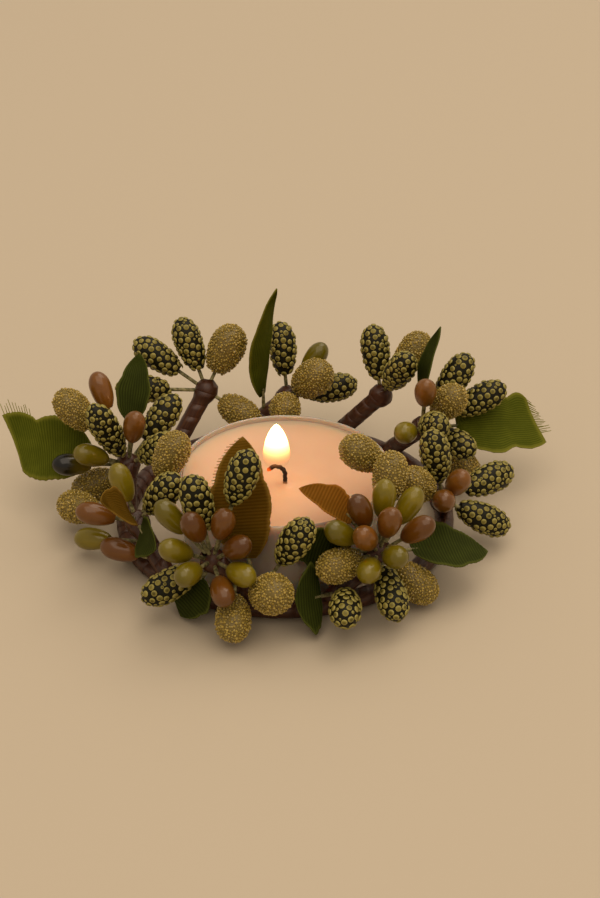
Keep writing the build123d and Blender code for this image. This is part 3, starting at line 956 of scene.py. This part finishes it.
# %% Sugared berries
BEAD = (0.15, 0.29)         # least and greatest radius
BEAD_SPACING = 0.36
BEAD_TRIES = 2600
BEAD_SEED = 23
BEAD_BED = 0.3
BEAD_STAND = (-0.2, 0.5)    # how far a bead's middle stands off the skin, in its own radii


def khaki_glue():
    """Dried glue between the beads: lumpy and khaki, with a dull gloss."""
    glue = blank(bpy.data.materials.new("khaki_glue"))
    coords = node(glue, "ShaderNodeTexCoord")
    lumps = node(glue, "ShaderNodeTexNoise", {
        "Vector": coords.outputs["Object"], "Scale": 1 / (0.6 * MM), "Detail": 3.0})
    colour = node(glue, "ShaderNodeMix", {
        0: lumps.outputs[0], 6: linear("#5e4e18"), 7: linear("#846f2c")}, data_type="RGBA")
    bump = node(glue, "ShaderNodeBump", {
        "Height": lumps.outputs[0], "Strength": 0.6, "Distance": 0.15 * MM})
    return show(glue, node(glue, "ShaderNodeBsdfPrincipled", {
        "Base Color": colour.outputs[2], "Roughness": 0.45, "Normal": bump.outputs[0]}))


def glass_beads():
    """Khaki glass beads: glossy facets, lit partly from within."""
    glass = blank(bpy.data.materials.new("khaki_glass_beads"))
    tint = node(glass, "ShaderNodeAttribute", attribute_name="tint")
    colour = node(glass, "ShaderNodeMix", {
        0: tint.outputs["Fac"], 6: linear("#8a7630"), 7: linear("#b69c4c")}, data_type="RGBA")
    return show(glass, node(glass, "ShaderNodeBsdfPrincipled", {
        "Base Color": colour.outputs[2], "Roughness": 0.16, "IOR": 1.52, "Subsurface Weight": 0.4,
        "Subsurface Radius": (1.0, 0.9, 0.5), "Subsurface Scale": 0.5 * MM}))


def bead_ball():
    bm = bmesh.new()
    bmesh.ops.create_icosphere(bm, subdivisions=1, radius=1)
    return frozen(bm, 1)


def sugared_group(eggs, rng):
    group = bmesh.new()
    tint = group.verts.layers.float.new("tint")
    for egg in eggs:
        outline = egg_outline(egg.length - BEAD_BED, egg.radius - BEAD_BED, EGG_POINTS)
        stamp(group, frozen(turned(outline, EGG_STEPS)), egg_place(egg))
        places, outward = skin_points(outline, BEAD_TRIES, rng)
        for i in spread_out(places, BEAD_SPACING):
            size = rng.uniform(*BEAD)
            sunk = places[i] + outward[i] * rng.uniform(*BEAD_STAND) * size
            tumble = Matrix.Rotation(rng.uniform(0, 2 * pi), 4, Vector(rng.normal(size=3)))
            shade = rng.random()
            bead = egg_place(egg) @ Matrix.Translation(sunk) @ tumble @ Matrix.Scale(size, 4)
            for vert in stamp(group, BALL, bead):
                vert[tint] = shade
    return group


BALL = bead_ball()
glue, beads = khaki_glue(), glass_beads()
rng = np.random.default_rng(BEAD_SEED)
for name in SPRAYS:
    finish_piece(f"{name}_sugared", sugared_group(EGGS[name, "sugared_berries"], rng), "wreath",
                 "sugared_berry", [f"{name}_sugared_berries"], glue, beads)

# %% [markdown]
# ## Pips
#
# The pips are smooth eggs dipped in lacquer, some brown and some olive, and one runs to black at its tip.
# The dip pools towards the tip, so the colour deepens along the pip. Each vertex stores how far along it
# lies, and each pip its own shade.

# %% Pips
PIP_POINTS = 12
PIP_STEPS = 32
PIP_SEED = 5
PIP_BLACK = "#0d0c07"
BLACK_TIP_RISE = 1.6              # how fast the black comes in along a dark pip
DARK_PIPS = {("left", "green_pips"): 0}     # which pip of a node runs to black


def lacquer(name, foot, tip, light):
    """Dipped lacquer: a clear gloss over a colour that deepens from foot to tip."""
    coat = blank(bpy.data.materials.new(name))
    along = node(coat, "ShaderNodeAttribute", attribute_name="along")
    tint = node(coat, "ShaderNodeAttribute", attribute_name="tint")
    coords = node(coat, "ShaderNodeTexCoord")
    runs = node(coat, "ShaderNodeTexNoise", {
        "Vector": coords.outputs["Object"], "Scale": 1 / (1.5 * MM), "Detail": 4.0})
    body = node(coat, "ShaderNodeMix", {
        0: along.outputs["Fac"], 6: linear(foot), 7: linear(tip)}, data_type="RGBA")
    shade = node(coat, "ShaderNodeMath", {0: tint.outputs["Fac"], 1: runs.outputs[0]}, operation="MULTIPLY")
    plain = node(coat, "ShaderNodeMix", {
        0: shade.outputs[0], 6: body.outputs[2], 7: linear(light)}, data_type="RGBA")
    black_tip = node(coat, "ShaderNodeAttribute", attribute_name="black_tip")
    colour = node(coat, "ShaderNodeMix", {
        0: black_tip.outputs["Fac"], 6: plain.outputs[2], 7: linear(PIP_BLACK)}, data_type="RGBA")
    bump = node(coat, "ShaderNodeBump", {
        "Height": runs.outputs[0], "Strength": 0.15, "Distance": 0.15 * MM})
    return show(coat, node(coat, "ShaderNodeBsdfPrincipled", {
        "Base Color": colour.outputs[2], "Roughness": 0.3, "Specular IOR Level": 0.25,
        "Normal": bump.outputs[0], "Coat Weight": 0.5, "Coat Roughness": 0.08}))


def pip_group(eggs, dark, rng):
    group = bmesh.new()
    along = group.verts.layers.float.new("along")
    tint = group.verts.layers.float.new("tint")
    black_tip = group.verts.layers.float.new("black_tip")
    for number, egg in enumerate(eggs):
        shape = frozen(turned(egg_outline(egg.length, egg.radius, PIP_POINTS), PIP_STEPS))
        heights = [vert.co.z for vert in shape.vertices]
        shade = rng.random()
        for vert, height in zip(stamp(group, shape, egg_place(egg)), heights):
            vert[along] = height / egg.length
            vert[tint] = shade
            # One pip is coloured black towards its tip.
            vert[black_tip] = min(1.0, BLACK_TIP_RISE * vert[along]) if number == dark else 0
    return group


LACQUERS = {
    "brown_pips": lacquer("brown_lacquer", "#74440e", "#553108", "#925e20"),
    "green_pips": lacquer("olive_lacquer", "#7c6c08", "#5c5204", "#968216"),
}
rng = np.random.default_rng(PIP_SEED)
for kind, coat in LACQUERS.items():
    for name in SPRAYS:
        if (name, kind) in EGGS:
            pips = pip_group(EGGS[name, kind], DARK_PIPS.get((name, kind)), rng)
            finish_piece(f"{name}_{kind}_lacquered", pips, "wreath", kind.replace("_pips", "_pip"),
                         [f"{name}_{kind}"], coat)

# %% [markdown]
# ## Cloth leaves
#
# The leaves are cut from dyed ribbed cloth, stiffened with size and glued to wire stalks. A leaf starts as
# a flat grid. The grid is drawn in to the leaf's outline, raised into ribs, and then drooped along an arc
# and rippled. The ribs of one leaf run across it and those of another along it. The grid is fine only in
# the direction that crosses the ribs, with four steps to each, so few faces are needed.

# %% Leaf shape
RIB_PITCH = 0.55
RIB_HEIGHT = 0.03
RIB_STEPS = 4
LEAF_ROWS = 22
LEAF_THICKNESS = 0.2
RIPPLE = 0.35
RIPPLE_SIZE = 5
LEAF_CUP = 0.8
LOBE_BULGE = 0.08
JAG = 0.035                 # how uneven the cut is, as a share of the width
JAG_PER_MM = 1.7
JAG_SIDE = 9                # sets the noise apart on a cut leaf, whose sides end at different widths
TIP_RUB = 3                 # the higher, the nearer to the tip its rubbed edge begins
LEAF_FOOT = (0, 0.12)
LEAF_LOBES = ((0.30, 0.42), (0.62, 0.36))
POINTED = ((1, 0), (1, 0))
CUT = ((0.84, 0.36), (1.0, 0.30))
SLANT = ((0.64, 0.40), (1.0, 0.34))
LOBE_ROOM = 0.15
STALK_RADIUS = 0.4
STALK_OVERLAP = 1.5
STALK_START = 1.2

Fray = namedtuple("Fray", "side first longest")
Leaf = namedtuple("Leaf", "spray ends root turn rise stalk roll length width bend cloth ribs fray")
# Leaves in the dark cloth lie in the shaded front and inside of the ring; their darker cloth is painted
# shade.
LEAVES = {
    "left_cut_leaf": Leaf("left", SLANT, 0, -1, 8, 7, -50, 19, 13, 60, "green", "across", Fray(-1, 0.7, 2.6)),
    "left_standing_leaf": Leaf("left", POINTED, 0, -92, 64, 8, 0, 13, 7, 30, "dark", "along", None),
    "left_front_leaf": Leaf("left_front", POINTED, 0, 76, 13, 4, 70, 9, 8, 30, "dark", "across", None),
    "olive_leaf": Leaf("left_front", POINTED, 0, 45, 50, 4, -50, 12, 8.5, 30, "olive", "along", None),
    "front_table_leaf": Leaf("front_left", POINTED, 0, -33, -52, 3.5, 0, 8, 13, 60, "dark", "across", None),
    "candle_leaf": Leaf("front_left", POINTED, 10, -104, 76, 7.5, -64, 22, 12, 21, "olive", "across",
                        Fray(1, 0.3, 0.9)),
    "drooping_leaf": Leaf("front_right", POINTED, 10, -72, 22, 5, -68, 6, 13, 14, "dark", "across", None),
    "shade_leaf": Leaf("front_right", POINTED, 0, -109, 16, 5.5, -88, 12, 9, 60, "dark", "across", None),
    "front_right_leaf": Leaf("front_right", POINTED, 0, 72, -3, 6, 10, 15, 12, 40, "dark", "across", None),
    "gold_leaf": Leaf("front_right", POINTED, 0, -130, 54, 8, -14, 11, 7.5, 12, "gold", "across", None),
    "right_cut_leaf": Leaf("right", CUT, 0, -24, 3, 6.5, 34, 17, 14, 60, "green", "along",
                           Fray(1, 0.25, 2.6)),
    "right_standing_leaf": Leaf("right", POINTED, 0, 57, 75, 5, -75, 15, 8, 40, "dark", "along", None),
    "back_leaf": Leaf("back", POINTED, 6, 160, 83, 5, 78, 27, 8, 75, "green", "along", None),
}
print(f"{len(LEAVES)} leaves")


def half_width(share, end):
    """Half the leaf's width at a share of its length, for its own unit width."""
    lobes = [lobe for lobe in LEAF_LOBES if lobe[0] < end[0] - LOBE_ROOM]
    knots = (LEAF_FOOT, *lobes, end)
    for (x0, y0), (x1, y1) in zip(knots, knots[1:]):
        if share <= x1:
            step = (share - x0) / (x1 - x0)
            return y0 + (y1 - y0) * step + 4 * LOBE_BULGE * step * (1 - step)
    return knots[-1][1]


def on_blade(row, along, across, lift=0.0):
    """A point of the blade, from 0 to 1 along it and -1 to 1 across it, on the leaf's own axes."""
    upper, lower = row.ends
    end = lower[0] + (upper[0] - lower[0]) * (across + 1) / 2
    side = upper if across > 0 else lower
    x = along * end * row.length
    y = across * half_width(along * side[0], side) * row.width
    y *= 1 + JAG * noise.noise(Vector((x * JAG_PER_MM, side[1] * JAG_SIDE, row.turn)))
    z = lift + RIPPLE * noise.noise(Vector((x / RIPPLE_SIZE, y / RIPPLE_SIZE, row.turn)))
    z += LEAF_CUP * (2 * y / row.width) ** 2
    droop = x / row.bend
    return Vector((row.stalk + (row.bend + z) * sin(droop), y, (row.bend + z) * cos(droop) - row.bend))


def aim(angle, rise):
    level = cos(radians(rise))
    return Vector((level * cos(radians(angle)), level * sin(radians(angle)), sin(radians(rise))))


def leaf_frame(row):
    """The leaf's place: X along its stalk from the root, Z out of the blade's upper side."""
    spray = SPRAYS[row.spray]
    knob, foot = branch_ends(spray)
    root = knob + (foot - knob).normalized() * row.root
    along = aim(spray.angle + row.turn, row.rise)
    side = Vector((0, 0, 1)).cross(along).normalized()
    roll = radians(row.roll)
    up = along.cross(side) * cos(roll) - side * sin(roll)
    axes = Matrix((along, up.cross(along), up)).transposed().to_4x4()
    return Matrix.Translation(root) @ axes


def rib_count(row):
    return round((row.length if row.ribs == "across" else row.width) / RIB_PITCH)


def leaf_blade(row):
    """The blade, with its ribs and rim stored on its vertices; the ribs also carry the painted shade of the
    grooves and the painted light of the crests.
    """
    ribbed = RIB_STEPS * rib_count(row)
    columns, rows = (ribbed, LEAF_ROWS) if row.ribs == "across" else (LEAF_ROWS, ribbed)
    bm = bmesh.new()
    rib = bm.verts.layers.float.new("rib")
    rim = bm.verts.layers.float.new("rim")
    bmesh.ops.create_grid(bm, x_segments=columns, y_segments=rows, size=1)
    for vert in bm.verts:
        along, across = (vert.co.x + 1) / 2, vert.co.y
        share = along if row.ribs == "across" else (across + 1) / 2
        crest = sin(2 * pi * round(share * ribbed) / RIB_STEPS)
        # The rib value paints shade into the grooves and light onto the crests of the cloth.
        vert[rib] = 0.5 + 0.5 * crest
        vert[rim] = max(abs(across), along ** TIP_RUB)
        vert.co = on_blade(row, along, across, RIB_HEIGHT * crest)
    bmesh.ops.remove_doubles(bm, verts=bm.verts, dist=MERGE)
    bmesh.ops.transform(bm, matrix=leaf_frame(row), verts=bm.verts)
    return bm


# %% [markdown]
# ## Dyed cloth
#
# The cloth is dyed unevenly in patches, and it is palest along the rubbed edges. Its grooves between the ribs
# are painted darker and its crests lighter, as painted shade and painted light. It is thin enough for light
# to come through, so part of the shader is translucent, and the leaves next to the flame glow amber.

# %% Leaf cloth
def leaf_cloth(name, shaded_groove, crest, edge, through):
    """Sized and dyed ribbed cloth, dull, with some light coming through it, painted shade in its grooves and
    painted light on its crests.
    """
    cloth = blank(bpy.data.materials.new(f"{name}_ribbed_cloth"))
    rib = node(cloth, "ShaderNodeAttribute", attribute_name="rib")
    rim = node(cloth, "ShaderNodeAttribute", attribute_name="rim")
    coords = node(cloth, "ShaderNodeTexCoord")
    dye = node(cloth, "ShaderNodeTexNoise", {
        "Vector": coords.outputs["Object"], "Scale": 1 / (3 * MM), "Detail": 5.0})
    fibres = node(cloth, "ShaderNodeTexNoise", {
        "Vector": coords.outputs["Object"], "Scale": 1 / (0.3 * MM), "Detail": 3.0})
    # Painted shade in the grooves and painted light on the crests, mixed with patches of dye.
    rib_shade_and_dye = node(cloth, "ShaderNodeMath", {0: rib.outputs["Fac"], 1: dye.outputs[0]}, operation="MULTIPLY")
    face = node(cloth, "ShaderNodeMix", {
        0: rib_shade_and_dye.outputs[0], 6: linear(shaded_groove), 7: linear(crest)}, data_type="RGBA")
    rubbed = node(cloth, "ShaderNodeMapRange", {
        "Value": rim.outputs["Fac"], "From Min": 0.82, "From Max": 1.0, "To Max": 0.7},
        interpolation_type="SMOOTHSTEP")
    colour = node(cloth, "ShaderNodeMix", {
        0: rubbed.outputs[0], 6: face.outputs[2], 7: linear(edge)}, data_type="RGBA")
    bump = node(cloth, "ShaderNodeBump", {
        "Height": fibres.outputs[0], "Strength": 0.4, "Distance": 0.08 * MM})
    skin = node(cloth, "ShaderNodeBsdfPrincipled", {
        "Base Color": colour.outputs[2], "Roughness": 0.75, "Specular IOR Level": 0.1,
        "Normal": bump.outputs[0]})
    glow = node(cloth, "ShaderNodeBsdfTranslucent", {"Color": colour.outputs[2]})
    return show(cloth, node(cloth, "ShaderNodeMixShader", {
        0: through, 1: skin.outputs[0], 2: glow.outputs[0]}))


# The dark cloth is a darker copy of the green one: painted shade for leaves that lie in the shaded front and
# inside of the ring.
CLOTHS = {
    "green": leaf_cloth("green", "#485006", "#7e8222", "#969234", 0.3),
    "dark": leaf_cloth("shaded_green", "#2a300a", "#505a1c", "#646a28", 0.25),
    "olive": leaf_cloth("olive", "#725408", "#9a7624", "#b89440", 0.55),
    "gold": leaf_cloth("gold", "#8a5e10", "#c88c30", "#d89c40", 0.6),
}
print(f"{len(CLOTHS)} leaf cloths")

# %% [markdown]
# ## Threads and stalks
#
# Where the edge of a leaf has frayed, its ribs go on as loose threads of different lengths. Hair particles
# could make them, but a thin tapering rod for each rib starts inside the cloth and joins it from any side.
# The stalk is a rod too.

# %% Leaves
THREAD_RADIUS = 0.09
THREAD_TAPER = 0.6
THREAD_SIDES = 6
THREAD_ROOT = 0.4
THREAD_STRAY = 0.3
THREAD_LENGTHS = (0.4, 1)   # least and greatest, as shares of the longest
THREAD_SEED = 3
CREST_SHARE = 0.25          # where the crest of a rib lies, as a share of its pitch
AIM_ACROSS = 0.8            # where on the blade a thread's line is taken from, across it and along it
AIM_ALONG = 0.9
STALK_DIP = 0.2
STALK_TAPER = 0.7
STALK_SIDES = 12


def rod(bm, start, end, radius, end_radius, sides):
    """A tapering rod between two points."""
    along = end - start
    place = Matrix.Translation((start + end) / 2) @ upright(along)
    bmesh.ops.create_cone(bm, cap_ends=True, segments=sides, radius1=radius, radius2=end_radius,
                          depth=along.length, matrix=place)


def leaf_threads(row, rng):
    """Loose threads that carry on the ribs past the frayed edge of a leaf, painted in the palest cloth colour
    as painted light.
    """
    side, first, longest = row.fray
    ribs = rib_count(row)
    bm = bmesh.new()
    crest = bm.verts.layers.float.new("rib")
    rim = bm.verts.layers.float.new("rim")
    for rib in range(floor(first * ribs), ribs):
        share = (rib + CREST_SHARE) / ribs
        if row.ribs == "across":
            inside, edge = on_blade(row, share, AIM_ACROSS * side), on_blade(row, share, side)
        else:
            inside, edge = on_blade(row, AIM_ALONG, 2 * share - 1), on_blade(row, 1, 2 * share - 1)
        out = (edge - inside).normalized()
        stray = Vector((0, 0, rng.uniform(-THREAD_STRAY, THREAD_STRAY)))
        tip = edge + (out + stray) * rng.uniform(*THREAD_LENGTHS) * longest
        rod(bm, edge - out * THREAD_ROOT, tip, THREAD_RADIUS, THREAD_TAPER * THREAD_RADIUS, THREAD_SIDES)
    # Threads get full crest and rim values, the palest cloth colour: painted light, since they would render
    # dark in their own shade.
    for vert in bm.verts:
        vert[crest] = 1
        vert[rim] = 1
    bmesh.ops.transform(bm, matrix=leaf_frame(row), verts=bm.verts)
    return bm


def leaf_stalk(row):
    """The wire that carries a blade and is glued along the start of it."""
    bm = bmesh.new()
    start = Vector((STALK_START, 0, 0))
    end = Vector((row.stalk + STALK_OVERLAP, 0, -STALK_DIP))
    rod(bm, start, end, STALK_RADIUS, STALK_TAPER * STALK_RADIUS, STALK_SIDES)
    bmesh.ops.transform(bm, matrix=leaf_frame(row), verts=bm.verts)
    return bm


rng = np.random.default_rng(THREAD_SEED)
for name, row in LEAVES.items():
    cloth = CLOTHS[row.cloth]
    blade = finish_piece(name, leaf_blade(row), "wreath", "leaf_cloth", [f"{row.spray}_leaves"], cloth)
    wall = blade.modifiers.new("cloth", "SOLIDIFY")
    wall.thickness = LEAF_THICKNESS * MM
    wall.offset = 0
    stalk = finish_piece(f"{name}_stalk", leaf_stalk(row), "wreath", "stem_wire", [], sleeve)
    loose = []
    if row.fray:
        threads = leaf_threads(row, rng)
        loose = [finish_piece(f"{name}_threads", threads, "wreath", "leaf_cloth", [], cloth)]
